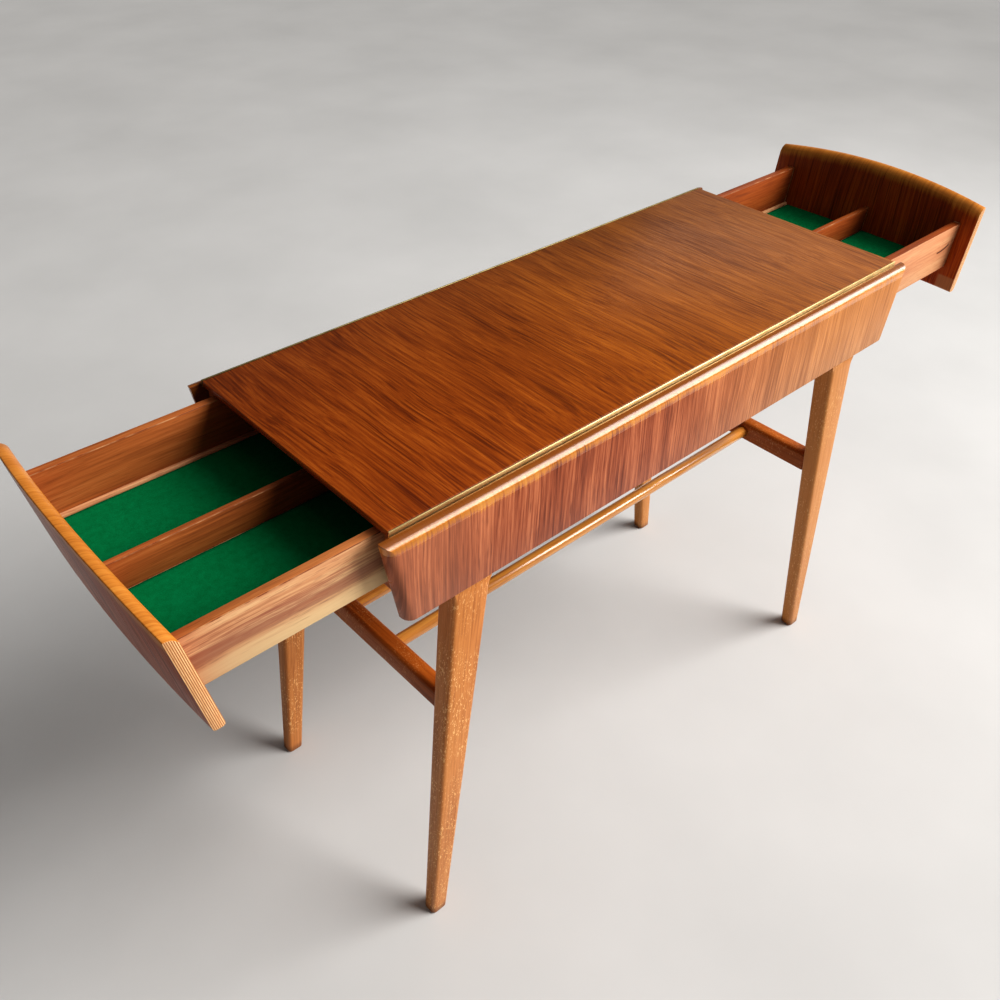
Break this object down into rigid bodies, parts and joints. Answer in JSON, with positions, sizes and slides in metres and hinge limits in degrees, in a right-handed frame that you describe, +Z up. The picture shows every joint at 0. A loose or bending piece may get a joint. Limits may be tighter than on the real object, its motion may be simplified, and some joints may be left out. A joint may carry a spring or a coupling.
{
  "type": "sewing table",
  "caption": "Long low wooden sewing table with splayed legs, brass edge strips and felt-lined drawers that slide out of both ends.",
  "frame": {"origin": "on the floor under the middle of the table", "axes": "+X along the table to the right seen from the front, +Y towards the back, +Z up"},
  "size_m": [1.192, 0.333, 0.625],
  "materials": {
    "walnut_veneer": "satin lacquered reddish-brown veneer",
    "honey_lipping": "glossy lacquered golden-brown solid wood",
    "stained_beech": "satin lacquered honey-coloured beech",
    "drawer_wood": "thinly finished reddish wood",
    "green_felt": "soft green felt",
    "brass": "brushed",
    "steel": "zinc-plated screw"
  },
  "bodies": {
    "table_frame": {"top_board": "walnut_veneer", "centre_divider": "stained_beech", "front_brass_strip": "brass", "front_panel": "walnut_veneer", "front_panel_lipping": "honey_lipping", "front_long_rod": "stained_beech", "front_left_leg": "stained_beech", "front_left_leg_screw": "steel", "front_left_runner": "stained_beech", "front_left_top_cleat": "stained_beech", "front_right_leg": "stained_beech", "front_right_leg_screw": "steel", "front_right_runner": "stained_beech", "front_right_top_cleat": "stained_beech", "back_brass_strip": "brass", "back_panel": "walnut_veneer", "back_panel_lipping": "honey_lipping", "back_long_rod": "stained_beech", "back_left_leg": "stained_beech", "back_left_leg_screw": "steel", "back_left_runner": "stained_beech", "back_left_top_cleat": "stained_beech", "back_right_leg": "stained_beech", "back_right_leg_screw": "steel", "back_right_runner": "stained_beech", "back_right_top_cleat": "stained_beech", "left_side_stretcher": "stained_beech", "left_cross_rail": "stained_beech", "left_pull_out_stop": "stained_beech", "right_side_stretcher": "stained_beech", "right_cross_rail": "stained_beech", "right_pull_out_stop": "stained_beech"},
    "left_drawer": {"left_drawer_front": "walnut_veneer", "left_drawer_front_side": "drawer_wood", "left_drawer_front_bead": "stained_beech", "left_drawer_front_felt": "green_felt", "left_drawer_back_side": "drawer_wood", "left_drawer_back_bead": "stained_beech", "left_drawer_back_felt": "green_felt", "left_drawer_floor": "drawer_wood", "left_drawer_back": "drawer_wood", "left_drawer_divider": "drawer_wood"},
    "right_drawer": {"right_drawer_front": "walnut_veneer", "right_drawer_front_side": "drawer_wood", "right_drawer_front_bead": "stained_beech", "right_drawer_front_felt": "green_felt", "right_drawer_back_side": "drawer_wood", "right_drawer_back_bead": "stained_beech", "right_drawer_back_felt": "green_felt", "right_drawer_floor": "drawer_wood", "right_drawer_back": "drawer_wood", "right_drawer_divider": "drawer_wood"}
  },
  "joints": [
    {"name": "left_drawer_slide", "type": "slide", "parent": "table_frame", "child": "left_drawer", "axis": [-1, 0, 0], "range_m": [-0.1715, 0.088]},
    {"name": "right_drawer_slide", "type": "slide", "parent": "table_frame", "child": "right_drawer", "axis": [1, 0, 0], "range_m": [-0.1825, 0.077]}
  ]
}
